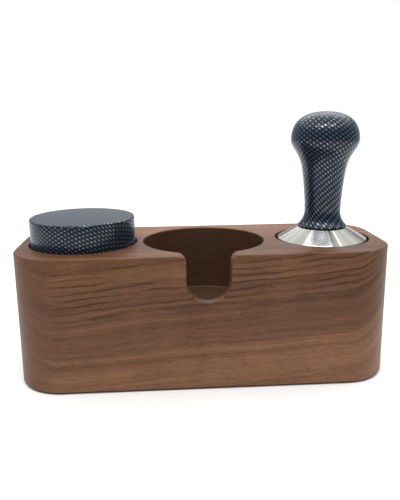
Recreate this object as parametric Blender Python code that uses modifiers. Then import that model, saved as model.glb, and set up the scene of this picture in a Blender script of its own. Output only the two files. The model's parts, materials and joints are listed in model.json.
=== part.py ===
"""Espresso tamping station: a walnut block that holds a leveller, a portafilter and a tamper.

Metres, +Z up. The origin is on the table, under the centre of the block. +X runs along the block to
the tamper's side, and -Y is the front, where the slot for the portafilter's neck opens.
"""

import math

import bmesh
import bpy
from mathutils import Matrix, Vector
from mathutils.geometry import interpolate_bezier

MM = 0.001

# Fits
TOUCH_GAP = 0.3 * MM              # between two pieces that rest on or fill each other
CAP_RECESS_CLEARANCE = 0.9 * MM   # radial, the leveller's cap in its recess
BASE_RECESS_CLEARANCE = 1.5 * MM  # radial, the tamper's base in its recess
CUT_OVERRUN = 5 * MM              # how far a cutter runs past the face it opens

# Tools: both fit a 58 mm filter basket
TOOL_RADIUS = 29.2 * MM

# Leveller
CAP_OVERHANG = 4.2 * MM           # how far the cap reaches past the head, to sit on the basket's rim
CAP_HEIGHT = 22.0 * MM
CAP_EDGE_RADIUS = 1.1 * MM
CAP_RIM_CHAMFER = 0.5 * MM
CAP_SKIRT_CLEARANCE = 0.8 * MM    # radial, between the skirt and the levelling head
CAP_ROOF = 5.0 * MM
BOSS_WALL = 5.0 * MM
BOSS_DROP = 8.5 * MM              # how far the threaded boss hangs below the cap's roof
BORE_ROOF = 3.0 * MM              # metal left above the threaded bore
STUD_RADIUS = 14.7 * MM
STUD_CHAMFER = 0.8 * MM
LEVEL_DEPTH = 11.0 * MM           # from the cap's rim to the lowest edge of the fins, as set
LEVEL_TRAVEL = 3.0 * MM           # how far the thread moves the cap either way
HEAD_PLATE = 4.5 * MM             # thickness of the levelling head above its fins
FIN_DROP = 4.0 * MM
FIN_COUNT = 4
FIN_ROOT = 0.3 * MM               # how far a fin's deep end still reaches into the plate
FIN_STEPS = 10
FIN_GAP_ANGLE = math.radians(8)   # flat between one fin's heel and the next fin's edge
HUB_RADIUS = 4.0 * MM
HEAD_EDGE = 0.4 * MM
O_RING_WIRE = 1.0 * MM            # radius of the ring's section
O_RING_DROP = 3.0 * MM            # from the top of the stud to the middle of the ring

# Tamper
BASE_EDGE_HEIGHT = 8.0 * MM
BASE_EDGE_RADIUS = 0.7 * MM
BASE_CONE_RISE = 7.6 * MM
BASE_LAND_RADIUS = 16.2 * MM
HANDLE_FOOT_RADIUS = 15.9 * MM
HANDLE_FOOT_BREAK = 0.35 * MM
HANDLE_NECK_RADIUS = 11.7 * MM
HANDLE_NECK_HEIGHT = 10.4 * MM
HANDLE_FLARE_RADIUS = 14.8 * MM
HANDLE_FLARE_HEIGHT = 40.7 * MM
HANDLE_FLARE_LEAN = 0.29          # outward slope of the grip where it starts to flare
HANDLE_HEAD_RADIUS = 21.65 * MM
HANDLE_HEAD_HEIGHT = 56.3 * MM
HANDLE_HEIGHT = 73.6 * MM
WASHER_RADIUS = 13.2 * MM
WASHER_THICKNESS = 0.8 * MM
WASHER_SEAT = 0.7 * MM            # depth of the washer's pocket under the handle
SCREW_STUD_RADIUS = 4.0 * MM
SCREW_STUD_CHAMFER = 0.6 * MM
STUD_IN_BASE = 9.0 * MM
STUD_IN_HANDLE = 22.0 * MM

# Block
BLOCK_HEIGHT = 83.8 * MM
CORNER_RADIUS = 28.7 * MM
EDGE_BREAK = 1.0 * MM
END_WALL = 6.1 * MM               # between an end of the block and the recess beside it
LEVELLER_WALL = 4.4 * MM          # between the leveller's recess and the portafilter's
TAMPER_WALL = 8.9 * MM            # between the portafilter's recess and the tamper's
FRONT_WALL = 7.0 * MM             # in front of and behind the portafilter's recess
BASKET_RECESS_RADIUS = 39.5 * MM
BASKET_RECESS_DEPTH = 45.0 * MM
LEVELLER_RECESS_DEPTH = 16.4 * MM
TAMPER_RECESS_DEPTH = 8.9 * MM
NECK_SLOT_WIDTH = 26.8 * MM
NECK_SLOT_DEPTH = 29.0 * MM
NECK_SLOT_FLARE = 5.0 * MM        # rounding where the slot's sides meet the top
FLARE_LIFT = 0.1 * MM             # lifts the flare's centre, so that its arc crosses the top cleanly

# Feet
FOOT_RADIUS = 9.0 * MM
FOOT_TAPER = 0.7 * MM
FOOT_PROUD = 1.0 * MM
FOOT_SOCKET_DEPTH = 4.0 * MM
FOOT_EDGE_DISTANCE = 8.0 * MM     # between a foot's socket and the side of the block
FOOT_WELL_RADIUS = 4.6 * MM
FOOT_WEB = 1.2 * MM               # rubber between the washer and the top of the foot
FOOT_WASHER_RADIUS = 4.2 * MM
FOOT_WASHER_THICKNESS = 0.8 * MM
FOOT_SCREW_RADIUS = 1.5 * MM
FOOT_SCREW_HEAD_RADIUS = 3.1 * MM
FOOT_SCREW_HEAD_HEIGHT = 1.6 * MM
FOOT_SCREW_LENGTH = 14.0 * MM
FOOT_HOLE_CLEARANCE = 0.4 * MM    # radial, the screw through the washer and the rubber
CROSS_WIDTH = 0.8 * MM
CROSS_LENGTH = 3.4 * MM
CROSS_DEPTH = 0.8 * MM

# Facets around a turn
FINE_TURN = 60
HANDLE_TURN = 48
RING_TURN = 36
FOOT_TURN = 24
SMALL_TURN = 20

# Worked out from the sizes above
CAP_RADIUS = TOOL_RADIUS + CAP_OVERHANG
LEVELLER_RECESS_RADIUS = CAP_RADIUS + CAP_RECESS_CLEARANCE
TAMPER_RECESS_RADIUS = TOOL_RADIUS + BASE_RECESS_CLEARANCE
BLOCK_LENGTH = 2 * (END_WALL + LEVELLER_RECESS_RADIUS + BASKET_RECESS_RADIUS + TAMPER_RECESS_RADIUS)
BLOCK_LENGTH += LEVELLER_WALL + TAMPER_WALL
BLOCK_DEPTH = 2 * (BASKET_RECESS_RADIUS + FRONT_WALL)
BLOCK_BOTTOM = FOOT_PROUD
BLOCK_TOP = BLOCK_BOTTOM + BLOCK_HEIGHT
LEVELLER_X = -BLOCK_LENGTH / 2 + END_WALL + LEVELLER_RECESS_RADIUS
BASKET_X = LEVELLER_X + LEVELLER_RECESS_RADIUS + LEVELLER_WALL + BASKET_RECESS_RADIUS
TAMPER_X = BLOCK_LENGTH / 2 - END_WALL - TAMPER_RECESS_RADIUS
LEVELLER_FLOOR = BLOCK_TOP - LEVELLER_RECESS_DEPTH
TAMPER_FLOOR = BLOCK_TOP - TAMPER_RECESS_DEPTH


def clear_scene():
    for old in list(bpy.data.objects):
        bpy.data.objects.remove(old, do_unlink=True)


def new_collection(name):
    collection = bpy.data.collections.new(name)
    bpy.context.scene.collection.children.link(collection)
    return collection


clear_scene()
PARTS = new_collection("tamping_station")
CUTTERS = new_collection("cutters")


def new_material(name, colour, roughness, metallic=0.0):
    material = bpy.data.materials.new(name)
    material.use_nodes = True
    shader = material.node_tree.nodes["Principled BSDF"]
    shader.inputs["Base Color"].default_value = (*colour, 1.0)
    shader.inputs["Roughness"].default_value = roughness
    shader.inputs["Metallic"].default_value = metallic
    material.diffuse_color = (*colour, 1.0)
    return material


def add_object(name, mesh, collection, location=(0, 0, 0)):
    piece = bpy.data.objects.new(name, mesh)
    piece.location = location
    collection.objects.link(piece)
    return piece


def finish_piece(piece, material):
    piece.data.materials.clear()
    piece.data.materials.append(material)
    piece.data.shade_smooth()
    piece.data.set_sharp_from_angle(angle=math.radians(35))
    return piece


def hide_cutter(cutter):
    cutter.hide_render = True
    cutter.display_type = "WIRE"
    return cutter


def arc(centre_x, centre_z, radius, start, end, steps):
    """Points from one angle to another, in degrees, on a circle in the XZ plane."""
    points = []
    for i in range(steps + 1):
        angle = math.radians(start + (end - start) * i / steps)
        points.append((centre_x + radius * math.cos(angle), centre_z + radius * math.sin(angle)))
    return points


def turned(name, profile, turn, collection, location=(0, 0, 0), closed=False):
    """A solid of revolution about its own Z. The profile runs down the outer side, top to bottom."""
    mesh = bpy.data.meshes.new(name)
    vertices = [(x, 0, z) for x, z in profile]
    edges = [(i, i + 1) for i in range(len(profile) - 1)]
    if closed:
        edges.append((len(profile) - 1, 0))
    mesh.from_pydata(vertices, edges, [])
    piece = add_object(name, mesh, collection, location)
    screw = piece.modifiers.new("Turn", "SCREW")
    screw.axis = "Z"
    screw.steps = turn
    screw.render_steps = turn
    screw.use_merge_vertices = True
    screw.merge_threshold = 0.00001
    screw.use_smooth_shade = True
    return piece


def subtract(piece, cutter, operation="DIFFERENCE"):
    cut = piece.modifiers.new(cutter.name, "BOOLEAN")
    cut.object = cutter
    cut.operation = operation
    cut.solver = "EXACT"
    return cut


def box_mesh(name, size, centre):
    mesh = bpy.data.meshes.new(name)
    shape = bmesh.new()
    bmesh.ops.create_cube(shape, size=1.0)
    bmesh.ops.scale(shape, vec=size, verts=shape.verts)
    bmesh.ops.translate(shape, vec=centre, verts=shape.verts)
    shape.to_mesh(mesh)
    shape.free()
    return mesh


def outline_solid(name, points, thickness, collection):
    """An outline in X and Z, extruded to both sides along Y and made a closed mesh."""
    curve = bpy.data.curves.new(name, "CURVE")
    curve.dimensions = "2D"
    curve.fill_mode = "BOTH"
    curve.extrude = thickness / 2
    spline = curve.splines.new("POLY")
    spline.points.add(len(points) - 1)
    for point, (x, z) in zip(spline.points, points):
        point.co = (x, z, 0, 1)
    spline.use_cyclic_u = True
    flat = add_object(name + "_outline", curve, collection)
    bpy.context.view_layer.update()
    evaluated = flat.evaluated_get(bpy.context.evaluated_depsgraph_get())
    mesh = bpy.data.meshes.new_from_object(evaluated)
    mesh.transform(Matrix.Rotation(math.radians(90), 4, "X"))
    bpy.data.objects.remove(flat, do_unlink=True)
    weld = bmesh.new()
    weld.from_mesh(mesh)
    bmesh.ops.remove_doubles(weld, verts=weld.verts, dist=0.000001)
    bmesh.ops.recalc_face_normals(weld, faces=weld.faces)
    weld.to_mesh(mesh)
    weld.free()
    return add_object(name, mesh, collection)


# Block

def foot_places():
    """The four feet, by name, clear of the block's sides and rounded corners."""
    reach_x = BLOCK_LENGTH / 2 - FOOT_EDGE_DISTANCE - FOOT_RADIUS - TOUCH_GAP
    reach_y = BLOCK_DEPTH / 2 - FOOT_EDGE_DISTANCE - FOOT_RADIUS - TOUCH_GAP
    corner_inset = CORNER_RADIUS * (1 - math.sqrt(0.5))
    reach_x -= corner_inset
    return {
        "front_left": (-reach_x, -reach_y),
        "front_right": (reach_x, -reach_y),
        "back_left": (-reach_x, reach_y),
        "back_right": (reach_x, reach_y),
    }


def recess_cutter(name, x, radius, depth):
    profile = [
        (0, BLOCK_TOP + CUT_OVERRUN),
        (radius, BLOCK_TOP + CUT_OVERRUN),
        (radius, BLOCK_TOP - depth),
        (0, BLOCK_TOP - depth),
    ]
    return hide_cutter(turned(name, profile, FINE_TURN, CUTTERS, location=(x, 0, 0)))


def neck_slot_cutter():
    """A slot with a round bottom and sides that flare into the top of the block."""
    half = NECK_SLOT_WIDTH / 2
    round_z = BLOCK_TOP - NECK_SLOT_DEPTH + half
    flare_z = BLOCK_TOP - NECK_SLOT_FLARE + FLARE_LIFT
    flare_x = half + NECK_SLOT_FLARE
    above = BLOCK_TOP + CUT_OVERRUN
    points = [(flare_x, above)]
    points += arc(flare_x, flare_z, NECK_SLOT_FLARE, 90, 180, 5)
    points += arc(0, round_z, half, 0, -180, 16)
    points += arc(-flare_x, flare_z, NECK_SLOT_FLARE, 0, 90, 5)
    points.append((-flare_x, above))
    length = BLOCK_DEPTH / 2 + CUT_OVERRUN
    cutter = outline_solid("neck_slot_cutter", points, length, CUTTERS)
    cutter.location = (BASKET_X, -length / 2, 0)
    return hide_cutter(cutter)


def foot_socket_cutter(name, place):
    """The socket of one foot and the pilot hole above it."""
    socket_top = BLOCK_BOTTOM + FOOT_SOCKET_DEPTH
    screw_bottom = FOOT_SCREW_HEAD_HEIGHT + FOOT_PROUD / 2
    hole_top = screw_bottom + FOOT_SCREW_LENGTH + 2 * TOUCH_GAP
    hole_radius = FOOT_SCREW_RADIUS + TOUCH_GAP
    profile = [
        (0, hole_top),
        (hole_radius, hole_top),
        (hole_radius, socket_top),
        (FOOT_RADIUS + TOUCH_GAP, socket_top),
        (FOOT_RADIUS + TOUCH_GAP, BLOCK_BOTTOM - CUT_OVERRUN),
        (0, BLOCK_BOTTOM - CUT_OVERRUN),
    ]
    return hide_cutter(turned(name, profile, SMALL_TURN, CUTTERS, location=(*place, 0)))


def station_block(material):
    mesh = box_mesh("station_block", (BLOCK_LENGTH, BLOCK_DEPTH, BLOCK_HEIGHT),
                    (0, 0, BLOCK_BOTTOM + BLOCK_HEIGHT / 2))
    shape = bmesh.new()
    shape.from_mesh(mesh)
    upright = [edge for edge in shape.edges if edge.verts[0].co.xy == edge.verts[1].co.xy]
    bmesh.ops.bevel(shape, geom=upright, offset=CORNER_RADIUS, segments=12, profile=0.5,
                    affect="EDGES")
    shape.to_mesh(mesh)
    shape.free()
    block = add_object("station_block", mesh, PARTS)
    recesses = (
        ("leveller_recess", LEVELLER_X, LEVELLER_RECESS_RADIUS, LEVELLER_RECESS_DEPTH),
        ("basket_recess", BASKET_X, BASKET_RECESS_RADIUS, BASKET_RECESS_DEPTH),
        ("tamper_recess", TAMPER_X, TAMPER_RECESS_RADIUS, TAMPER_RECESS_DEPTH),
    )
    for name, x, radius, depth in recesses:
        subtract(block, recess_cutter(name + "_cutter", x, radius, depth))
    subtract(block, neck_slot_cutter())
    edges = block.modifiers.new("Edge break", "BEVEL")
    edges.width = EDGE_BREAK
    edges.segments = 2
    edges.limit_method = "ANGLE"
    edges.angle_limit = math.radians(40)
    edges.use_clamp_overlap = False
    for name, place in foot_places().items():
        subtract(block, foot_socket_cutter("foot_socket_" + name, place))
    return finish_piece(block, material)


# Feet

def foot(name, place, material):
    top = BLOCK_BOTTOM + FOOT_SOCKET_DEPTH - TOUCH_GAP
    hole = FOOT_SCREW_RADIUS + FOOT_HOLE_CLEARANCE
    profile = [
        (FOOT_RADIUS, top),
        (FOOT_RADIUS, BLOCK_BOTTOM),
        (FOOT_RADIUS - FOOT_TAPER / 2, FOOT_TAPER / 3),
        (FOOT_RADIUS - FOOT_TAPER, 0),
        (FOOT_WELL_RADIUS, 0),
        (FOOT_WELL_RADIUS, top - FOOT_WEB),
        (hole, top - FOOT_WEB),
        (hole, top),
    ]
    return finish_piece(turned(name, profile, FOOT_TURN, PARTS, (*place, 0), closed=True), material)


def foot_washer(name, place, material):
    top = BLOCK_BOTTOM + FOOT_SOCKET_DEPTH - TOUCH_GAP - FOOT_WEB - TOUCH_GAP
    hole = FOOT_SCREW_RADIUS + FOOT_HOLE_CLEARANCE
    bottom = top - FOOT_WASHER_THICKNESS
    profile = [(FOOT_WASHER_RADIUS, top), (FOOT_WASHER_RADIUS, bottom), (hole, bottom), (hole, top)]
    return finish_piece(turned(name, profile, SMALL_TURN, PARTS, (*place, 0), closed=True), material)


def foot_screw(name, place, material):
    """A pan-head screw, head down, under the washer, with a cross recess in its head."""
    washer_top = BLOCK_BOTTOM + FOOT_SOCKET_DEPTH - TOUCH_GAP - FOOT_WEB - TOUCH_GAP
    head_top = washer_top - FOOT_WASHER_THICKNESS - TOUCH_GAP
    head_bottom = head_top - FOOT_SCREW_HEAD_HEIGHT
    tip = head_top + FOOT_SCREW_LENGTH
    profile = [
        (0, tip),
        (FOOT_SCREW_RADIUS, tip - 2 * FOOT_SCREW_RADIUS),
        (FOOT_SCREW_RADIUS, head_top),
        (FOOT_SCREW_HEAD_RADIUS, head_top),
        (FOOT_SCREW_HEAD_RADIUS, head_bottom + FOOT_SCREW_HEAD_HEIGHT / 2),
        (FOOT_SCREW_HEAD_RADIUS * 0.75, head_bottom),
        (0, head_bottom),
    ]
    screw = turned(name, profile, SMALL_TURN, PARTS, (*place, 0))
    for direction, size in (("x", (CROSS_LENGTH, CROSS_WIDTH)), ("y", (CROSS_WIDTH, CROSS_LENGTH))):
        blade = box_mesh(f"{name}_cross_{direction}", (*size, 2 * CROSS_DEPTH), (0, 0, head_bottom))
        cutter = add_object(f"{name}_cross_{direction}", blade, CUTTERS, (*place, 0))
        subtract(screw, hide_cutter(cutter))
    return finish_piece(screw, material)


# Leveller

def leveller_levels():
    """Heights of the leveller's faces, from the floor of its recess up."""
    fins = LEVELLER_FLOOR + TOUCH_GAP
    plate_top = fins + FIN_DROP + HEAD_PLATE
    rim = fins + LEVEL_DEPTH
    cap_top = rim + CAP_HEIGHT
    boss_bottom = cap_top - CAP_ROOF - BOSS_DROP
    bore_top = cap_top - BORE_ROOF
    stud_top = bore_top - LEVEL_TRAVEL - 2 * TOUCH_GAP
    return fins, plate_top, rim, cap_top, boss_bottom, bore_top, stud_top


def leveller_cap(material):
    """A turned cup with a skirt that sits on the basket's rim and a threaded boss inside."""
    _, _, rim, top, boss_bottom, bore_top, _ = leveller_levels()
    skirt = TOOL_RADIUS + CAP_SKIRT_CLEARANCE
    bore = STUD_RADIUS + TOUCH_GAP
    boss = bore + BOSS_WALL
    profile = [(0, top)]
    profile += arc(CAP_RADIUS - CAP_EDGE_RADIUS, top - CAP_EDGE_RADIUS, CAP_EDGE_RADIUS, 90, 0, 4)
    profile += [
        (CAP_RADIUS, rim + CAP_RIM_CHAMFER),
        (CAP_RADIUS - CAP_RIM_CHAMFER, rim),
        (skirt + CAP_RIM_CHAMFER, rim),
        (skirt, rim + CAP_RIM_CHAMFER),
        (skirt, top - CAP_ROOF),
        (boss, top - CAP_ROOF),
        (boss, boss_bottom),
        (bore, boss_bottom),
        (bore, bore_top),
        (0, bore_top),
    ]
    cap = turned("leveller_cap", profile, FINE_TURN, PARTS, (LEVELLER_X, 0, 0))
    return finish_piece(cap, material)


def fin_sweep(index):
    """One fin: a radial bar swept round part of the head while it drops, like a propeller's face."""
    fins, *_ = leveller_levels()
    top = fins + FIN_DROP + FIN_DROP + FIN_ROOT
    height = FIN_DROP + FIN_ROOT
    middle = (HUB_RADIUS / 2 + TOOL_RADIUS + CUT_OVERRUN) / 2
    reach = TOOL_RADIUS + CUT_OVERRUN - HUB_RADIUS / 2
    shape = bmesh.new()
    side = Matrix.Translation((middle, 0, top - height / 2)) @ Matrix.Rotation(math.pi / 2, 4, "X")
    bmesh.ops.create_grid(shape, x_segments=1, y_segments=1, size=0.5,
                          matrix=side @ Matrix.Diagonal((reach, height, 1, 1)))
    bmesh.ops.spin(shape, geom=shape.verts[:] + shape.edges[:] + shape.faces[:], cent=(0, 0, 0),
                   axis=(0, 0, 1), dvec=(0, 0, -FIN_DROP / FIN_STEPS), steps=FIN_STEPS,
                   angle=2 * math.pi / FIN_COUNT - FIN_GAP_ANGLE)
    bmesh.ops.recalc_face_normals(shape, faces=shape.faces)
    mesh = bpy.data.meshes.new(f"fin_{index}")
    shape.to_mesh(mesh)
    shape.free()
    fin = add_object(f"fin_{index}", mesh, CUTTERS, (LEVELLER_X, 0, 0))
    fin.rotation_euler.z = 2 * math.pi * index / FIN_COUNT
    return hide_cutter(fin)


def leveller_head(material):
    """The levelling head: a plate with helical fins under it and a threaded stud on top."""
    fins, plate_top, _, _, _, _, stud_top = leveller_levels()
    plate_bottom = fins + FIN_DROP
    groove = STUD_RADIUS - 2 * O_RING_WIRE - TOUCH_GAP
    ring_z = stud_top - O_RING_DROP
    blank = TOOL_RADIUS + CUT_OVERRUN / 2
    profile = [
        (0, stud_top),
        (STUD_RADIUS - STUD_CHAMFER, stud_top),
        (STUD_RADIUS, stud_top - STUD_CHAMFER),
        (STUD_RADIUS, ring_z + O_RING_WIRE + TOUCH_GAP),
        (groove, ring_z + O_RING_WIRE + TOUCH_GAP),
        (groove, ring_z - O_RING_WIRE - TOUCH_GAP),
        (STUD_RADIUS, ring_z - O_RING_WIRE - TOUCH_GAP),
        (STUD_RADIUS, plate_top),
        (blank, plate_top),
        (blank, plate_bottom),
        (0, plate_bottom),
    ]
    head = turned("leveller_head", profile, FINE_TURN, PARTS, (LEVELLER_X, 0, 0))
    for index in range(FIN_COUNT):
        subtract(head, fin_sweep(index), "UNION")
    hub = [
        (0, plate_bottom + HEAD_PLATE / 2),
        (HUB_RADIUS, plate_bottom + HEAD_PLATE / 2),
        (HUB_RADIUS, fins + HEAD_EDGE),
        (HUB_RADIUS - HEAD_EDGE, fins),
        (0, fins),
    ]
    subtract(head, hide_cutter(turned("head_hub", hub, SMALL_TURN, CUTTERS, (LEVELLER_X, 0, 0))), "UNION")
    chamfer_reach = TOOL_RADIUS - HEAD_EDGE - CUT_OVERRUN
    trim = [
        (0, stud_top + CUT_OVERRUN),
        (chamfer_reach, stud_top + CUT_OVERRUN),
        (chamfer_reach, plate_top + CUT_OVERRUN),
        (TOOL_RADIUS, plate_top - HEAD_EDGE),
        (TOOL_RADIUS, fins + HEAD_EDGE),
        (chamfer_reach, fins - CUT_OVERRUN),
        (0, fins - CUT_OVERRUN),
    ]
    trimmer = hide_cutter(turned("head_trim", trim, FINE_TURN, CUTTERS, (LEVELLER_X, 0, 0)))
    subtract(head, trimmer, "INTERSECT")
    return finish_piece(head, material)


def leveller_o_ring(material):
    """The ring in the stud's groove, whose drag on the cap's bore keeps the depth as set."""
    *_, stud_top = leveller_levels()
    centre = STUD_RADIUS - O_RING_WIRE
    profile = arc(centre, stud_top - O_RING_DROP, O_RING_WIRE, 90, -270, 6)[:-1]
    ring = turned("leveller_o_ring", profile, RING_TURN, PARTS, (LEVELLER_X, 0, 0), closed=True)
    return finish_piece(ring, material)


# Tamper

def tamper_levels():
    """Heights of the tamper's faces: base bottom, base top, washer bottom and handle foot."""
    bottom = TAMPER_FLOOR + TOUCH_GAP
    base_top = bottom + BASE_EDGE_HEIGHT + BASE_CONE_RISE
    washer_bottom = base_top + TOUCH_GAP
    foot_z = washer_bottom + WASHER_THICKNESS + TOUCH_GAP - WASHER_SEAT
    return bottom, base_top, washer_bottom, foot_z


def tamper_base(material):
    """A turned steel piston with a sharp lower edge, a cone and a tapped blind hole."""
    bottom, top, _, _ = tamper_levels()
    shoulder = bottom + BASE_EDGE_HEIGHT
    hole = SCREW_STUD_RADIUS + TOUCH_GAP
    floor = top - STUD_IN_BASE - 2 * TOUCH_GAP
    edge = BASE_EDGE_RADIUS
    profile = [(hole, top), (BASE_LAND_RADIUS, top), (TOOL_RADIUS - edge, shoulder)]
    profile += arc(TOOL_RADIUS - edge, shoulder - edge, edge, 60, 0, 3)
    profile += arc(TOOL_RADIUS - edge, bottom + edge, edge, 0, -90, 3)
    profile += [(0, bottom)]
    profile = [(0, floor), (hole, floor)] + profile
    base = turned("tamper_base", profile, FINE_TURN, PARTS, (TAMPER_X, 0, 0))
    return finish_piece(base, material)


def tamper_washer(material):
    _, _, bottom, _ = tamper_levels()
    top = bottom + WASHER_THICKNESS
    hole = SCREW_STUD_RADIUS + TOUCH_GAP
    profile = [(WASHER_RADIUS, top), (WASHER_RADIUS, bottom), (hole, bottom), (hole, top)]
    washer = turned("tamper_washer", profile, RING_TURN, PARTS, (TAMPER_X, 0, 0), closed=True)
    return finish_piece(washer, material)


def tamper_stud(material):
    _, base_top, _, foot_z = tamper_levels()
    bottom = base_top - STUD_IN_BASE
    top = foot_z + STUD_IN_HANDLE
    chamfer = SCREW_STUD_CHAMFER
    profile = [
        (0, top),
        (SCREW_STUD_RADIUS - chamfer, top),
        (SCREW_STUD_RADIUS, top - chamfer),
        (SCREW_STUD_RADIUS, bottom + chamfer),
        (SCREW_STUD_RADIUS - chamfer, bottom),
        (0, bottom),
    ]
    stud = turned("tamper_stud", profile, SMALL_TURN, PARTS, (TAMPER_X, 0, 0))
    return finish_piece(stud, material)


def handle_outline(foot_z):
    """The handle's outer side, from the crown down to the foot, as smooth curves through its sizes."""
    lean = HANDLE_FLARE_LEAN
    crown = Vector((0, HANDLE_HEIGHT))
    head = Vector((HANDLE_HEAD_RADIUS, HANDLE_HEAD_HEIGHT))
    flare = Vector((HANDLE_FLARE_RADIUS, HANDLE_FLARE_HEIGHT))
    neck = Vector((HANDLE_NECK_RADIUS, HANDLE_NECK_HEIGHT))
    foot_edge = Vector((HANDLE_FOOT_RADIUS, HANDLE_FOOT_BREAK))
    crown_rise = HANDLE_HEIGHT - HANDLE_HEAD_HEIGHT
    head_rise = HANDLE_HEAD_HEIGHT - HANDLE_FLARE_HEIGHT
    grip_rise = HANDLE_FLARE_HEIGHT - HANDLE_NECK_HEIGHT
    foot_out = HANDLE_FOOT_RADIUS - HANDLE_NECK_RADIUS
    spans = (
        (crown, crown + Vector((HANDLE_HEAD_RADIUS * 0.74, 0)),
         head + Vector((0, crown_rise * 0.56)), head, 8),
        (head, head - Vector((0, head_rise * 0.34)),
         flare + Vector((lean, 1)) * head_rise * 0.5, flare, 6),
        (flare, flare - Vector((lean, 1)) * grip_rise * 0.2,
         neck + Vector((0, grip_rise * 0.2)), neck, 6),
        (neck, neck - Vector((0, HANDLE_NECK_HEIGHT * 0.38)),
         foot_edge + Vector((-foot_out * 0.76, HANDLE_NECK_HEIGHT * 0.3)), foot_edge, 6),
    )
    points = []
    for start, start_handle, end_handle, end, count in spans:
        points += interpolate_bezier(start, start_handle, end_handle, end, count)[:-1]
    points.append(foot_edge)
    return [(point.x, foot_z + point.y) for point in points]


def tamper_handle(material):
    """A turned knob-ended handle with a pocket for the washer and a bore for the stud."""
    _, _, _, foot_z = tamper_levels()
    pocket = WASHER_RADIUS + TOUCH_GAP
    bore = SCREW_STUD_RADIUS + TOUCH_GAP
    bore_top = foot_z + STUD_IN_HANDLE + TOUCH_GAP
    profile = handle_outline(foot_z)
    profile += [
        (HANDLE_FOOT_RADIUS - HANDLE_FOOT_BREAK, foot_z),
        (pocket, foot_z),
        (pocket, foot_z + WASHER_SEAT),
        (bore, foot_z + WASHER_SEAT),
        (bore, bore_top),
        (0, bore_top),
    ]
    handle = turned("tamper_handle", profile, HANDLE_TURN, PARTS, (TAMPER_X, 0, 0))
    return finish_piece(handle, material)


def main():
    walnut = new_material("walnut", (0.13, 0.072, 0.043), 0.5)
    rubber = new_material("black_rubber", (0.02, 0.02, 0.02), 0.8)
    zinc_steel = new_material("zinc_steel", (0.55, 0.55, 0.56), 0.35, 1.0)
    stainless = new_material("stainless", (0.62, 0.61, 0.59), 0.25, 1.0)
    carbon_print = new_material("carbon_print", (0.03, 0.035, 0.045), 0.2)

    station_block(walnut)
    for name, place in foot_places().items():
        foot("foot_" + name, place, rubber)
        foot_washer("foot_washer_" + name, place, zinc_steel)
        foot_screw("foot_screw_" + name, place, zinc_steel)
    leveller_head(stainless)
    leveller_o_ring(rubber)
    leveller_cap(carbon_print)
    tamper_base(stainless)
    tamper_washer(rubber)
    tamper_stud(zinc_steel)
    tamper_handle(carbon_print)


main()
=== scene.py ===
import json
import math

import bpy
from mathutils import Matrix, Vector


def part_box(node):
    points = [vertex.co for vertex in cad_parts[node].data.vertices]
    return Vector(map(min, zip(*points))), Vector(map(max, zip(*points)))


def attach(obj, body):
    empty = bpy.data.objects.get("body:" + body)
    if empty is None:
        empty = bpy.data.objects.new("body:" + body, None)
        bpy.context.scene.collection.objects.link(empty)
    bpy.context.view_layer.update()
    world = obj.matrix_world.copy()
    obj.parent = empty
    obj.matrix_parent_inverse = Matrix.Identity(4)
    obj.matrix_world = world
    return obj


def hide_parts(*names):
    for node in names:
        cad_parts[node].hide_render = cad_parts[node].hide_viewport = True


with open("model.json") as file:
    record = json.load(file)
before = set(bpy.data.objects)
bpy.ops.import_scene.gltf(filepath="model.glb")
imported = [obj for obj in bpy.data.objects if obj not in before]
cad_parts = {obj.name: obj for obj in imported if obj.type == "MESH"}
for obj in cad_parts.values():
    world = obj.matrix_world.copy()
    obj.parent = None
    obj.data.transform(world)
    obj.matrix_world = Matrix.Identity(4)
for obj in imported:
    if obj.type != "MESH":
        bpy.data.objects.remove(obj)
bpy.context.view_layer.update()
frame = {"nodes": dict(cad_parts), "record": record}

MM = 0.001

# Fine forms on the pieces, in metres
ROUND_STEPS = 160
BLOCK_CORNER = 28.7 * MM
BLOCK_EDGE = 1.0 * MM
RECESS_STEPS = 144
LEVELLER_RECESS = (34.3 * MM, 16.4 * MM)
BASKET_RECESS = (39.5 * MM, 45.0 * MM)
TAMPER_RECESS = (30.7 * MM, 8.9 * MM)
MOUNTS = {mount["name"]: mount["pos_m"] for mount in frame["record"]["mounts"]}
BASKET_X = MOUNTS["portafilter_rest"][0]
SLOT_HALF_WIDTH = 13.4 * MM
SLOT_DEPTH = 29.0 * MM
SLOT_FLARE = 5.0 * MM
FOOT_SOCKET = (9.3 * MM, 5.0 * MM)
PILOT_HOLE = (1.8 * MM, 16.7 * MM)

# Marks on the finishes, and the painted highlights on the steel, in millimetres and radians
KNOT_X, KNOT_Z = 81.0, 71.0
# Painted highlights on the turned steel: pairs of first and last angle about the axis, 0 at the front
STEEL_PAINTED_HIGHLIGHTS = ((-0.66, -0.03), (0.15, 0.19), (1.10, 1.50), (2.30, 2.60), (-1.55, -1.45), (-2.60, -2.10))
OVERRUN = 5 * MM


# Modelling by hand

def select_none():
    if bpy.context.object and bpy.context.object.mode != "OBJECT":
        bpy.ops.object.mode_set(mode="OBJECT")
    bpy.ops.object.select_all(action="DESELECT")


def centre_of(node):
    low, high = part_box(node)
    return (Vector(low) + Vector(high)) / 2


def settle(piece, angle=30):
    """Puts the piece's place into its mesh and smooths its round faces."""
    select_none()
    bpy.context.view_layer.objects.active = piece
    piece.select_set(True)
    bpy.ops.object.transform_apply(location=True, rotation=True, scale=True)
    bpy.ops.object.shade_smooth_by_angle(angle=math.radians(angle))
    piece.select_set(False)
    return piece


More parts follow.
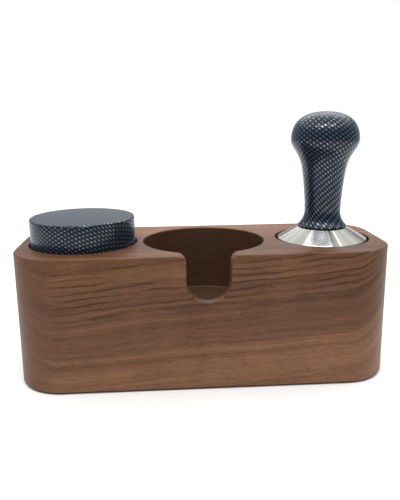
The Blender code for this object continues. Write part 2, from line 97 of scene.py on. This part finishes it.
def rounded(corners, steps=6):
    """Outline points from (x, z, radius) corners, each corner with its own rounding."""
    points = []
    last = len(corners) - 1
    for i, (x, z, radius) in enumerate(corners):
        corner = Vector((x, z))
        if radius == 0 or i in (0, last):
            points.append(corner)
            continue
        before = (Vector(corners[i - 1][:2]) - corner).normalized()
        after = (Vector(corners[i + 1][:2]) - corner).normalized()
        half = before.angle(after) / 2
        reach = radius / math.tan(half)
        middle = corner + (before + after).normalized() * (radius / math.sin(half))
        start = corner + before * reach - middle
        end = corner + after * reach - middle
        for step in range(steps + 1):
            share = step / steps
            points.append(middle + start.slerp(end, share) * radius)
    return points


def draw_outline(name, points, place=(0, 0, 0)):
    """A chain of vertices in the XZ plane, drawn by extruding one point along the outline."""
    select_none()
    bpy.ops.mesh.primitive_plane_add(size=1 * MM, location=(0, 0, 0))
    piece = bpy.context.object
    piece.name = piece.data.name = name
    bpy.ops.object.mode_set(mode="EDIT")
    bpy.ops.mesh.select_all(action="SELECT")
    bpy.ops.mesh.merge(type="CENTER")
    x, z = points[0]
    bpy.ops.transform.translate(value=(place[0] + x, place[1], place[2] + z))
    for (x0, z0), (x1, z1) in zip(points, points[1:]):
        bpy.ops.mesh.extrude_region_move(TRANSFORM_OT_translate={"value": (x1 - x0, 0, z1 - z0)})
    return piece


def close_mesh(gap=0.002 * MM):
    bpy.ops.mesh.select_all(action="SELECT")
    bpy.ops.mesh.remove_doubles(threshold=gap)
    bpy.ops.mesh.normals_make_consistent(inside=False)


def turned(name, points, place, steps=ROUND_STEPS):
    """A lathe-turned piece about an upright axis, from an outline in X and Z."""
    piece = draw_outline(name, points, place)
    bpy.ops.mesh.select_all(action="SELECT")
    bpy.ops.mesh.spin(steps=steps, angle=2 * math.pi, center=place, axis=(0, 0, 1))
    close_mesh()
    bpy.ops.object.mode_set(mode="OBJECT")
    return settle(piece)


def cut(piece, cutter, operation="DIFFERENCE"):
    select_none()
    bpy.context.view_layer.objects.active = piece
    piece.select_set(True)
    boolean = piece.modifiers.new("Cut", "BOOLEAN")
    boolean.object = cutter
    boolean.operation = operation
    boolean.solver = "EXACT"
    bpy.ops.object.modifier_apply(modifier=boolean.name)
    bpy.data.objects.remove(cutter, do_unlink=True)


def round_cutter(x, y, low, high, radius, steps):
    select_none()
    bpy.ops.mesh.primitive_cylinder_add(vertices=steps, radius=radius, depth=high - low,
                                        location=(x, y, (low + high) / 2))
    return bpy.context.object


def slot_cutter(top, front):
    """The neck slot: a round bottom, straight sides and a flare into the top."""
    half, flare = SLOT_HALF_WIDTH, SLOT_FLARE
    round_z = top - SLOT_DEPTH + half
    flare_z = top - flare + 0.1 * MM
    points = [Vector((half + flare, top + OVERRUN))]
    for step in range(13):
        angle = math.radians(90 + 90 * step / 12)
        across = half + flare + flare * math.cos(angle)
        points.append(Vector((across, flare_z + flare * math.sin(angle))))
    for step in range(49):
        angle = math.radians(-180 * step / 48)
        points.append(Vector((half * math.cos(angle), round_z + half * math.sin(angle))))
    for step in range(13):
        angle = math.radians(90 * step / 12)
        across = -half - flare + flare * math.cos(angle)
        points.append(Vector((across, flare_z + flare * math.sin(angle))))
    points.append(Vector((-half - flare, top + OVERRUN)))
    cutter = draw_outline("slot_cutter", points, (BASKET_X, front - OVERRUN, 0))
    bpy.ops.mesh.select_all(action="SELECT")
    bpy.ops.mesh.edge_face_add()
    reach = {"value": (0, -front + OVERRUN, 0)}
    bpy.ops.mesh.extrude_region_move(TRANSFORM_OT_translate=reach)
    close_mesh()
    bpy.ops.object.mode_set(mode="OBJECT")
    return cutter


def model_block():
    """The walnut block: rounded corners, three recesses, the neck slot and broken edges."""
    low, high = (Vector(corner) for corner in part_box("station_block"))
    top, front = high.z, low.y
    select_none()
    bpy.ops.mesh.primitive_cube_add(size=1, location=(low + high) / 2, scale=high - low)
    block = bpy.context.object
    block.name = block.data.name = "walnut_block"
    bpy.ops.object.transform_apply(location=True, rotation=True, scale=True)
    bpy.ops.object.mode_set(mode="EDIT")
    bpy.ops.mesh.select_mode(type="EDGE")
    bpy.ops.mesh.select_all(action="DESELECT")
    bpy.ops.object.mode_set(mode="OBJECT")
    for edge in block.data.edges:
        a, b = (block.data.vertices[i].co for i in edge.vertices)
        edge.select = (a.xy - b.xy).length < 1e-6
    bpy.ops.object.mode_set(mode="EDIT")
    bpy.ops.mesh.bevel(offset=BLOCK_CORNER, segments=28, affect="EDGES", offset_type="OFFSET")
    bpy.ops.mesh.select_mode(type="VERT")
    bpy.ops.object.mode_set(mode="OBJECT")
    leveller_x = centre_of("leveller_cap").x
    tamper_x = centre_of("tamper_base").x
    recesses = ((leveller_x, LEVELLER_RECESS), (BASKET_X, BASKET_RECESS), (tamper_x, TAMPER_RECESS))
    for x, (radius, depth) in recesses:
        cut(block, round_cutter(x, 0, top - depth, top + OVERRUN, radius, RECESS_STEPS))
    cut(block, slot_cutter(top, front))
    bevel = block.modifiers.new("Broken edges", "BEVEL")
    bevel.width = BLOCK_EDGE
    bevel.segments = 4
    bevel.limit_method = "ANGLE"
    bevel.angle_limit = math.radians(40)
    bevel.use_clamp_overlap = False
    select_none()
    bpy.context.view_layer.objects.active = block
    block.select_set(True)
    bpy.ops.object.modifier_apply(modifier=bevel.name)
    # The broken edges overshoot the top by a hair, so they are brought back to it
    for vertex in block.data.vertices:
        vertex.co.z = min(vertex.co.z, top)
    for side in ("front_left", "front_right", "back_left", "back_right"):
        middle = centre_of("foot_" + side)
        for radius, height in (PILOT_HOLE, FOOT_SOCKET):
            cut(block, round_cutter(middle.x, middle.y, -OVERRUN, height, radius, 48))
    return settle(block)


def model_cap():
    """The leveller's cap: a shallow drum with a fine rounding at the top and a broken lower rim."""
    low, high = (Vector(corner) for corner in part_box("leveller_cap"))
    middle = (low + high) / 2
    radius = (high.x - low.x) / 2
    top, rim = high.z, low.z
    skirt, sleeve, bore = 30.0 * MM, 20.0 * MM, 15.0 * MM
    roof, sleeve_end, bore_end = top - 5 * MM, top - 13.5 * MM, top - 3 * MM
    corners = [
        (0, top, 0), (radius, top, 1.2 * MM), (radius, rim, 0.6 * MM), (skirt, rim, 0.5 * MM),
        (skirt, roof, 1.0 * MM), (sleeve, roof, 1.0 * MM), (sleeve, sleeve_end, 0.4 * MM),
        (bore, sleeve_end, 0.4 * MM), (bore, bore_end, 0.5 * MM), (0, bore_end, 0),
    ]
    return turned("cap_shell", rounded(corners), (middle.x, 0, 0))


def model_base():
    """The tamper's steel piston: crisp lower edge, cone, flat land and tapped hole."""
    low, high = (Vector(corner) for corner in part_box("tamper_base"))
    middle = (low + high) / 2
    radius = (high.x - low.x) / 2
    top, bottom = high.z, low.z
    hole, hole_end, land = 4.3 * MM, top - 9.6 * MM, 16.2 * MM
    shoulder, cone_foot = bottom + 7.2 * MM, bottom + 8.1 * MM
    corners = [
        (0, hole_end, 0), (hole, hole_end, 0), (hole, top, 0.3 * MM),
        (land, top, 0.4 * MM), (radius - 0.1 * MM, cone_foot, 0.8 * MM),
        (radius, shoulder, 0.6 * MM),
        (radius, bottom, 0.5 * MM), (0, bottom, 0),
    ]
    return turned("steel_piston", rounded(corners), (middle.x, 0, 0))


def curve_points(start, start_handle, end_handle, end, count):
    """Points on a cubic curve, without its last one."""
    points = []
    for step in range(count):
        t = step / count
        points.append(start * (1 - t) ** 3 + start_handle * (3 * t * (1 - t) ** 2)
                      + end_handle * (3 * t * t * (1 - t)) + end * t ** 3)
    return points


def model_handle():
    """The tamper's handle: flared foot, slim neck, swelling grip and a domed knob."""
    low, high = (Vector(corner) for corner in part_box("tamper_handle"))
    middle = (low + high) / 2
    foot = low.z
    knob = Vector(((high.x - low.x) / 2, foot + 56.3 * MM))
    crown = Vector((0, high.z))
    grip = Vector((14.8 * MM, foot + 40.7 * MM))
    neck = Vector((11.7 * MM, foot + 10.4 * MM))
    edge = Vector((15.9 * MM, foot + 0.35 * MM))
    lean = Vector((0.29, 1))
    points = curve_points(crown, crown + Vector((knob.x * 0.74, 0)),
                          knob + Vector((0, (crown.y - knob.y) * 0.56)), knob, 26)
    points += curve_points(knob, knob - Vector((0, (knob.y - grip.y) * 0.34)),
                           grip + lean * (knob.y - grip.y) * 0.5, grip, 20)
    points += curve_points(grip, grip - lean * (grip.y - neck.y) * 0.2,
                           neck + Vector((0, (grip.y - neck.y) * 0.2)), neck, 20)
    points += curve_points(neck, neck - Vector((0, 3.9 * MM)),
                           edge + Vector((-3.2 * MM, 3.1 * MM)), edge, 16)
    seat, hollow, hole = 15.55 * MM, 13.5 * MM, 4.3 * MM
    hollow_end, hole_end = foot + 0.7 * MM, foot + 22.3 * MM
    inside = [
        (edge.x, edge.y, 0), (seat, foot, 0.2 * MM), (hollow, foot, 0.2 * MM),
        (hollow, hollow_end, 0), (hole, hollow_end, 0), (hole, hole_end, 0), (0, hole_end, 0),
    ]
    return turned("handle_turning", points + rounded(inside), (middle.x, 0, 0))


def model_stud():
    """The handle's stud with its real thread: a ridge wound round a core."""
    low, high = (Vector(corner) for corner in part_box("tamper_stud"))
    middle = (low + high) / 2
    radius = (high.x - low.x) / 2
    pitch = 1.25 * MM
    root = radius - 0.75 * MM
    core = [(0, high.z, 0), (root, high.z, 0.3 * MM), (root, low.z, 0.3 * MM), (0, low.z, 0)]
    stud = turned("threaded_stud", rounded(core), (middle.x, 0, 0), 48)
    turns = int((high.z - low.z) / pitch) - 1
    flank = [
        Vector((root - 0.2 * MM, 0.52 * MM)), Vector((radius - 0.02 * MM, 0.08 * MM)),
        Vector((radius - 0.02 * MM, -0.08 * MM)), Vector((root - 0.2 * MM, -0.52 * MM)),
        Vector((root - 0.2 * MM, 0.52 * MM)),
    ]
    ridge = draw_outline("thread_ridge", flank, (0, 0, 0))
    close_mesh()
    bpy.ops.object.mode_set(mode="OBJECT")
    wind = ridge.modifiers.new("Wind", "SCREW")
    wind.axis = "Z"
    wind.screw_offset = pitch
    wind.iterations = turns
    wind.steps = wind.render_steps = 32
    wind.merge_threshold = 0.00001
    select_none()
    bpy.context.view_layer.objects.active = ridge
    ridge.select_set(True)
    bpy.ops.object.modifier_apply(modifier=wind.name)
    bpy.ops.object.mode_set(mode="EDIT")
    bpy.ops.mesh.select_all(action="SELECT")
    bpy.ops.mesh.fill_holes(sides=8)
    close_mesh()
    bpy.ops.object.mode_set(mode="OBJECT")
    ridge.location = (middle.x, 0, low.z + 0.9 * MM)
    settle(ridge)
    ridge.select_set(True)
    stud.select_set(True)
    bpy.context.view_layer.objects.active = stud
    bpy.ops.object.join()
    stud.select_set(False)
    return stud


# Materials

class Value:
    """A shader socket that takes part in ordinary arithmetic."""

    def __init__(self, maker, socket):
        self.maker = maker
        self.socket = socket

    def maths(self, operation, *others):
        values = [self.socket] + [getattr(other, "socket", other) for other in others]
        return self.maker.node("ShaderNodeMath", {"operation": operation}, dict(enumerate(values)))

    def __add__(self, other):
        return self.maths("ADD", other)

    def __sub__(self, other):
        return self.maths("SUBTRACT", other)

    def __mul__(self, other):
        return self.maths("MULTIPLY", other)

    def __truediv__(self, other):
        return self.maths("DIVIDE", other)

    def __pow__(self, other):
        return self.maths("POWER", other)

    def __rsub__(self, other):
        return (self * -1.0) + other

    __radd__ = __add__
    __rmul__ = __mul__

    def sine(self):
        return self.maths("SINE")

    def between(self, low, high):
        """0 below low, 1 above high, and smooth in between."""
        ranged = {0: self.socket, 1: low, 2: high, 3: 0.0, 4: 1.0}
        settings = {"interpolation_type": "SMOOTHSTEP"}
        return self.maker.node("ShaderNodeMapRange", settings, ranged)


class Finish:
    """A material and the nodes that give it its look."""

    def __init__(self, name, **constants):
        self.material = bpy.data.materials.new(name)
        self.material.use_nodes = True
        self.tree = self.material.node_tree
        self.shader = self.tree.nodes["Principled BSDF"]
        for socket, value in constants.items():
            self.shader.inputs[socket.replace("_", " ")].default_value = value

    def node(self, kind, settings=None, inputs=None, output=0):
        made = self.tree.nodes.new(kind)
        for name, value in (settings or {}).items():
            if name == "stops":
                self.set_stops(made.color_ramp, value)
            else:
                setattr(made, name, value)
        for key, value in (inputs or {}).items():
            value = getattr(value, "socket", value)
            if isinstance(value, bpy.types.NodeSocket):
                self.tree.links.new(value, made.inputs[key])
            else:
                made.inputs[key].default_value = value
        return Value(self, made.outputs[output])

    def set_stops(self, ramp, stops):
        while len(ramp.elements) > 1:
            ramp.elements.remove(ramp.elements[-1])
        for i, (place, colour) in enumerate(stops):
            element = ramp.elements[0] if i == 0 else ramp.elements.new(place)
            element.position = place
            element.color = (*colour, 1.0)

    def vector(self, x, y, z):
        return self.node("ShaderNodeCombineXYZ", None, {0: x, 1: y, 2: z})

    def place(self, centre=(0, 0, 0)):
        """The three coordinates on the object, in millimetres from a centre."""
        coordinates = self.node("ShaderNodeTexCoord", output=3)
        parts = []
        for axis in range(3):
            split = self.node("ShaderNodeSeparateXYZ", None, {0: coordinates}, axis)
            parts.append((split - centre[axis]) * 1000.0)
        return parts

    def noise(self, vector, scale=1.0, detail=2.0, roughness=0.5):
        inputs = {"Vector": vector, "Scale": scale, "Detail": detail, "Roughness": roughness}
        return self.node("ShaderNodeTexNoise", {"noise_dimensions": "3D"}, inputs)

    def ramp(self, factor, stops):
        return self.node("ShaderNodeValToRGB", {"stops": stops}, {0: factor})

    def mix(self, factor, first, second, blend="MIX"):
        settings = {"data_type": "RGBA", "blend_type": blend}
        return self.node("ShaderNodeMix", settings, {0: factor, 6: first, 7: second}, 2)

    def bump(self, height, distance, strength=1.0, below=None):
        inputs = {"Height": height, "Distance": distance, "Strength": strength}
        if below is not None:
            inputs["Normal"] = below
        return self.node("ShaderNodeBump", None, inputs)

    def wear(self, socket, value):
        self.tree.links.new(value.socket, self.shader.inputs[socket])
        return self


def recess_shade_mask(x, y, z, centre, radius):
    """1 on a recess's wall and floor, where shade is painted in, and 0 outside it."""
    reach = ((x - centre / MM) * (x - centre / MM) + y * y) ** 0.5
    return (1.0 - reach.between(radius / MM + 0.2, radius / MM + 1.1)) * (1.0 - z.between(83.5, 84.6))


def walnut_finish():
    """Oiled walnut: growth rings that run along the block and lean back, streaks, pores and flecks,
    with painted shade in the recesses and a painted sheen that calms the grain at the left corner.
    """
    finish = Finish("oiled_walnut", IOR=1.45, Specular_IOR_Level=0.33)
    x, y, z = finish.place()
    drift = finish.noise(finish.vector(x / 95.0, y / 60.0, z / 60.0), detail=1.0) - 0.5
    ripple = finish.noise(finish.vector(x / 30.0, y / 12.0, z / 12.0), detail=2.0) - 0.5
    lean = 1.05
    straight = (z - y * lean) / math.hypot(1, lean)
    depth = straight - x * 0.055 + drift * 6.0 + ripple * 1.2
    across = (y + z * lean) / math.hypot(1, lean)

    wide = (depth / 13.5 + 0.08).maths("FRACT")
    wide_band = wide.between(0.10, 0.97) * (1.0 - wide.between(0.975, 1.0))
    close = (depth / 2.75 + ripple * 0.7).maths("FRACT")
    close_line = close.between(0.58, 0.90) * (1.0 - close.between(0.92, 1.0))
    crowded = depth.between(68.0, 76.0) * (1.0 - depth.between(89.0, 93.0))
    fade = finish.noise(finish.vector(x / 42.0, depth / 6.0, across / 40.0), detail=2.0)
    fade = fade.between(0.38, 0.60) * x.between(-106.0, -78.0)
    along_grain = finish.vector(x / 190.0, depth / 2.1, across / 70.0)
    streaks = finish.noise(along_grain, detail=3.0, roughness=0.6)
    hair = finish.vector(x / 11.0, depth / 0.50, across / 0.9)
    fibre = finish.noise(hair, detail=2.0, roughness=0.65)
    flecks = finish.noise(finish.vector(x / 4.0, depth / 0.42, across / 0.42), detail=1.0)
    fleck = flecks.between(0.57, 0.70)
    figure = finish.noise(finish.vector(x / 26.0, y / 60.0, z / 42.0), detail=2.0)

    pale = (1.0 - depth.between(53.0, 54.2)) * 0.16 + (1.0 - depth.between(41.4, 42.6)) * 0.07
    band = depth.between(66.5, 70.0) * (1.0 - depth.between(71.0, 72.5))
    tone = pale - wide_band * 0.06 - close_line * crowded * fade * 0.36 - band * fade * 0.2 + 0.60
    tone = tone + (streaks - 0.5) * 0.62 + (figure - 0.5) * 0.26
    # Painted sheen: towards the left corner the grain's contrast is flattened towards a mid tone
    painted_sheen_wash = (1.0 - x.between(-112.0, -84.0)) * 0.75
    tone = tone * (1.0 - painted_sheen_wash) + painted_sheen_wash * 0.50 + (fibre - 0.5) * 0.46
    colour = finish.ramp(tone, [
        (0.12, (0.032, 0.0125, 0.0054)),
        (0.34, (0.070, 0.0272, 0.0112)),
        (0.50, (0.109, 0.0430, 0.0175)),
        (0.66, (0.152, 0.0635, 0.0275)),
        (0.88, (0.236, 0.1100, 0.0550)),
    ])
    colour = finish.mix(fleck * 0.5, colour, (0.036, 0.015, 0.008, 1.0))
    aside, above = x - KNOT_X, z - KNOT_Z
    knot = finish.noise(finish.vector(x, 0.0, z), detail=0.0) * 0.5
    knot = knot + (aside * aside * 0.5 + above * above) ** 0.5
    knot = (1.0 - knot.between(0.45, 1.05)) * (1.0 - y.between(-40.0, -39.0))
    colour = finish.mix(knot * 0.8, colour, (0.010, 0.005, 0.003, 1.0))
    # Painted shade: the walls and floors of the three recesses are darkened in the colour
    painted_recess_shade = recess_shade_mask(x, y, z, BASKET_X, BASKET_RECESS[0]) * 0.8
    painted_recess_shade = painted_recess_shade + recess_shade_mask(x, y, z, centre_of("leveller_cap").x, LEVELLER_RECESS[0]) * 0.85
    painted_recess_shade = painted_recess_shade + recess_shade_mask(x, y, z, centre_of("tamper_base").x, TAMPER_RECESS[0]) * 0.85
    colour = finish.mix(painted_recess_shade, colour, (0.030, 0.014, 0.0075, 1.0))
    roughness = 0.44 + (fibre - 0.5) * 0.14 + fleck * 0.15
    relief = finish.bump(1.0 - fleck, 0.00005, 0.6)
    relief = finish.bump(fibre, 0.00002, 0.5, relief)
    finish.wear("Base Color", colour).wear("Roughness", roughness).wear("Normal", relief)
    return finish.material


def turned_steel_finish(name, centre, painted_highlights):
    """Stainless steel off the lathe: fine rings about its axis, smears, and painted highlights.

    A fan is a painted highlight, a sector in a paler colour from its first angle to its second about
    the axis, with 0 at the front; fainter pale sectors by noise are painted highlights too. It is part
    of the colour: it turns with the piece and doesn't follow the lights. The ground colour is darker
    than steel, painted shade between the highlights.
    """
    finish = Finish(name, Metallic=1.0, IOR=2.0)
    x, y, z = finish.place(centre)
    radius = (x * x + y * y) ** 0.5
    angle = x.maths("ARCTAN2", y * -1.0)
    grooves = finish.noise(finish.vector(radius / 0.16, z / 0.16, 0.0), detail=3.0, roughness=0.7)
    broad = finish.noise(finish.vector(radius / 1.3, z / 1.3, 0.0), detail=1.0)
    smear = finish.noise(finish.vector(x / 9.0, y / 9.0, z / 9.0), detail=2.0)
    painted_sector_highlight = finish.noise(finish.vector(x / radius * 5.0, y / radius * 5.0, 0.3), detail=2.0)
    # Painted highlights: pale sectors by noise about the axis, then the listed fans, all in the colour
    pale = painted_sector_highlight.between(0.35, 0.75) * 0.22
    for start, end in painted_highlights:
        begun = angle.between(start - 0.03, start + 0.03)
        ended = angle.between(end - 0.03, end + 0.03)
        pale = pale + begun * (1.0 - ended)
    pale = pale.maths("MINIMUM", 1.0)
    # The pale colour is the painted highlight; the darker ground, darker than steel, is painted shade
    colour = finish.mix(pale, (0.265, 0.265, 0.235, 1.0), (0.93, 0.91, 0.89, 1.0))
    colour = finish.mix(smear.between(0.35, 0.8) * 0.25, colour, (0.26, 0.26, 0.23, 1.0))
    roughness = 0.24 + (smear - 0.5) * 0.14 + (broad - 0.5) * 0.08
    relief = finish.bump(grooves, 0.00003, 1.0)
    finish.wear("Base Color", colour).wear("Roughness", roughness).wear("Normal", relief)
    return finish.material


def carbon_finish(name, centre, rising, falling, crown):
    """Printed carbon weave under gloss: slanting silver flecks on a navy-black ground.

    The flecks sit where two families of slanting rows cross. Each family is given by its rows
    per radian at a radius of 12 mm, how that grows with each further millimetre as the film
    stretches, its rows per millimetre of height and how those grow, and how far the rows swing
    from the left side to the right. Above crown, in mm, the film lies flat.
    """
    finish = Finish(name, Coat_Weight=0.42, Coat_Roughness=0.14, Coat_IOR=1.36, Specular_IOR_Level=0.1,
                    Sheen_Weight=0.45, Sheen_Roughness=0.3, Sheen_Tint=(0.07, 0.16, 0.34, 1.0))
    x, y, z = finish.place(centre)
    radius = (x * x + y * y) ** 0.5
    angle = x.maths("ARCTAN2", y * -1.0)
    flat = z.between(crown - 0.01, crown + 0.01)
    upright = 1.0 - flat
    wobble = (finish.noise(finish.vector(x / 18.0, y / 18.0, z / 18.0), detail=1.0) - 0.5) * 0.25
    wide = radius - 12.0
    front = y / radius
    first = angle * (wide * rising[1] + rising[0]) + z * (z * rising[3] + rising[2])
    first = first + front * rising[4]
    second = angle * (wide * falling[1] + falling[0]) - z * (z * falling[3] + falling[2])
    second = second - front * falling[4]
    first = upright * first + flat * (x * 0.30 + y * 0.35) + wobble
    second = upright * second + flat * (x * 0.148 - y * 0.355) + wobble * 0.7
    row = (first * (2 * math.pi)).sine() * 0.5 + 0.5
    tow = (second * (2 * math.pi)).sine() * 0.5 + 0.5
    fleck = (row ** 1.6) * (tow ** 1.4)
    mark = fleck.between(0.16, 0.66)
    patch = finish.noise(finish.vector(x / 7.0, y / 7.0, z / 7.0), detail=1.0)
    mark = mark * (patch.between(0.2, 0.75) * 0.4 + 0.6)
    weave = row.between(0.2, 0.9) * 0.06
    shade = (mark + weave).maths("MINIMUM", 1.0)
    colour = finish.mix(shade, (0.0020, 0.0085, 0.0230, 1.0), (0.185, 0.215, 0.245, 1.0))
    roughness = 0.42 - mark * 0.19
    relief = finish.bump(fleck, 0.00004, 0.5)
    finish.wear("Base Color", colour).wear("Roughness", roughness).wear("Normal", relief)
    finish.wear("Metallic", mark * 0.9)
    return finish.material


def rubber_finish():
    """Moulded black rubber with a fine matt grain."""
    finish = Finish("moulded_rubber", IOR=1.5)
    x, y, z = finish.place()
    grain = finish.noise(finish.vector(x / 0.35, y / 0.35, z / 0.35), detail=2.0)
    dust = finish.noise(finish.vector(x / 4.0, y / 4.0, z / 4.0), detail=2.0)
    colour = finish.mix(dust.between(0.35, 0.8), (0.012, 0.012, 0.012, 1.0), (0.032, 0.031, 0.030, 1.0))
    finish.wear("Base Color", colour).wear("Roughness", 0.6 + grain * 0.25)
    finish.wear("Normal", finish.bump(grain, 0.00003, 0.6))
    return finish.material


def zinc_finish():
    """Bright zinc plate with the faint cloudiness of barrel plating."""
    finish = Finish("zinc_plate", Metallic=1.0)
    x, y, z = finish.place()
    cloud = finish.noise(finish.vector(x / 2.0, y / 2.0, z / 2.0), detail=3.0)
    colour = finish.mix(cloud, (0.55, 0.56, 0.58, 1.0), (0.70, 0.69, 0.66, 1.0))
    finish.wear("Base Color", colour).wear("Roughness", 0.22 + cloud * 0.25)
    finish.wear("Normal", finish.bump(cloud, 0.00001, 0.5))
    return finish.material


def dress(piece, material):
    piece.data.materials.clear()
    piece.data.materials.append(material)
    return piece


# Build

cap_place = centre_of("leveller_cap")
tamper_place = centre_of("tamper_base")
handle_low, handle_high = (Vector(corner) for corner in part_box("tamper_handle"))
cap_low, cap_high = (Vector(corner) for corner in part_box("leveller_cap"))

walnut = walnut_finish()
leveller_steel = turned_steel_finish("leveller_steel", (cap_place.x, 0, 0), STEEL_PAINTED_HIGHLIGHTS)
tamper_steel = turned_steel_finish("tamper_steel", (tamper_place.x, 0, 0), STEEL_PAINTED_HIGHLIGHTS)
cap_carbon = carbon_finish("cap_carbon", (cap_place.x, 0, cap_low.z),
                           (10.4, 0.0, 0.39, 0.0, 5.3), (4.8, 0.0, 0.40, 0.0, 9.0),
                           (cap_high.z - cap_low.z) / MM - 0.5)
handle_carbon = carbon_finish("handle_carbon", (tamper_place.x, 0, handle_low.z),
                              (5.45, 0.09, 0.350, 0.0003, 1.4), (2.5, 0.17, 0.20, 0.0011, 1.2),
                              (handle_high.z - handle_low.z) / MM - 3.2)
rubber = rubber_finish()
zinc = zinc_finish()

block = dress(model_block(), walnut)
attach(block, "station")
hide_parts("station_block")

cap = dress(model_cap(), cap_carbon)
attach(cap, "leveller_cap")
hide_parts("leveller_cap")

base = dress(model_base(), tamper_steel)
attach(base, "tamper_base")
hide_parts("tamper_base")

handle = dress(model_handle(), handle_carbon)
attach(handle, "tamper_handle")
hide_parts("tamper_handle")

stud = dress(model_stud(), zinc)
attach(stud, "tamper_handle")
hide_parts("tamper_stud")

for name, node in frame["nodes"].items():
    if name.startswith("foot_washer") or name.startswith("foot_screw"):
        dress(node, zinc)
    elif name.startswith("foot") or name in ("leveller_o_ring", "tamper_washer"):
        dress(node, rubber)
dress(frame["nodes"]["leveller_head"], leveller_steel)


# Studio

def studio():
    select_none()
    bpy.ops.mesh.primitive_plane_add(size=1.8, location=(0, 0, -0.0002))
    floor = bpy.context.object
    floor.name = "studio_floor"
    paper = Finish("studio_paper", Roughness=0.9)
    x, y, z = paper.place()
    tooth = paper.noise(paper.vector(x / 30.0, y / 30.0, 0.0), detail=2.0)
    paper.wear("Base Color", paper.mix(tooth, (0.93, 0.93, 0.93, 1.0), (0.95, 0.95, 0.95, 1.0)))
    dress(floor, paper.material)

    surround()
    for name, place, aim, width, height, power in (
        ("softbox", (-0.06, -0.46, 0.95), (0, 0, 0.08), 1.0, 0.13, 5.0),
        ("back_light", (0.25, 0.9, 0.9), (0, 0, 0.05), 0.9, 0.9, 1.5),
    ):
        lamp = bpy.data.lights.new(name, "AREA")
        lamp.shape = "RECTANGLE"
        lamp.size = width
        lamp.size_y = height
        lamp.energy = power
        hang(lamp, place, aim)
    ceiling = bpy.data.lights.new("ceiling", "SUN")
    ceiling.energy = 2.75
    ceiling.angle = math.radians(110)
    hang(ceiling, (0, 0.3, 2), (0, 0, 0))


def hang(lamp, place, aim):
    holder = bpy.data.objects.new(lamp.name, lamp)
    bpy.context.scene.collection.objects.link(holder)
    holder.location = place
    holder.rotation_euler = (Vector(aim) - Vector(place)).to_track_quat("-Z", "Y").to_euler()


def surround():
    """A white backdrop, and a room that lights the pieces less from the front than from behind."""
    world = bpy.data.worlds.new("studio")
    world.use_nodes = True
    tree = world.node_tree
    background = tree.nodes["Background"]
    direction = tree.nodes.new("ShaderNodeTexCoord")
    split = tree.nodes.new("ShaderNodeSeparateXYZ")
    tree.links.new(direction.outputs["Generated"], split.inputs[0])
    shade = tree.nodes.new("ShaderNodeMapRange")
    for key, value in {"From Min": -0.7, "From Max": 0.7, "To Min": 0.13, "To Max": 0.55}.items():
        shade.inputs[key].default_value = value
    tree.links.new(split.outputs["Y"], shade.inputs["Value"])
    path = tree.nodes.new("ShaderNodeLightPath")
    seen = tree.nodes.new("ShaderNodeMath")
    seen.operation = "MAXIMUM"
    tree.links.new(path.outputs["Is Camera Ray"], seen.inputs[0])
    tree.links.new(shade.outputs["Result"], seen.inputs[1])
    background.inputs["Color"].default_value = (1.0, 1.0, 1.0, 1.0)
    tree.links.new(seen.outputs[0], background.inputs["Strength"])
    bpy.context.scene.world = world
    bpy.context.scene.view_settings.view_transform = "Standard"


def camera():
    """In front, a little to the left and above, looking slightly down."""
    lens = bpy.data.cameras.new("camera")
    lens.sensor_width = 36
    lens.lens = 42.08
    holder = bpy.data.objects.new("camera", lens)
    bpy.context.scene.collection.objects.link(holder)
    yaw, pitch, roll = math.radians(3.7376), math.radians(13.5977), math.radians(-0.5678)
    level = Vector((math.cos(yaw), -math.sin(yaw), 0))
    ahead = Vector((math.sin(yaw), math.cos(yaw), 0))
    forward = ahead * math.cos(pitch) - Vector((0, 0, math.sin(pitch)))
    upright = level.cross(forward)
    right = level * math.cos(roll) + upright * math.sin(roll)
    up = upright * math.cos(roll) - level * math.sin(roll)
    holder.matrix_world = Matrix((
        (right.x, up.x, -forward.x, -25.53 * MM),
        (right.y, up.y, -forward.y, -376.13 * MM),
        (right.z, up.z, -forward.z, 168.45 * MM),
        (0, 0, 0, 1),
    ))
    lens.clip_start = 0.01
    bpy.context.scene.camera = holder


studio()
camera()
bpy.context.view_layer.update()
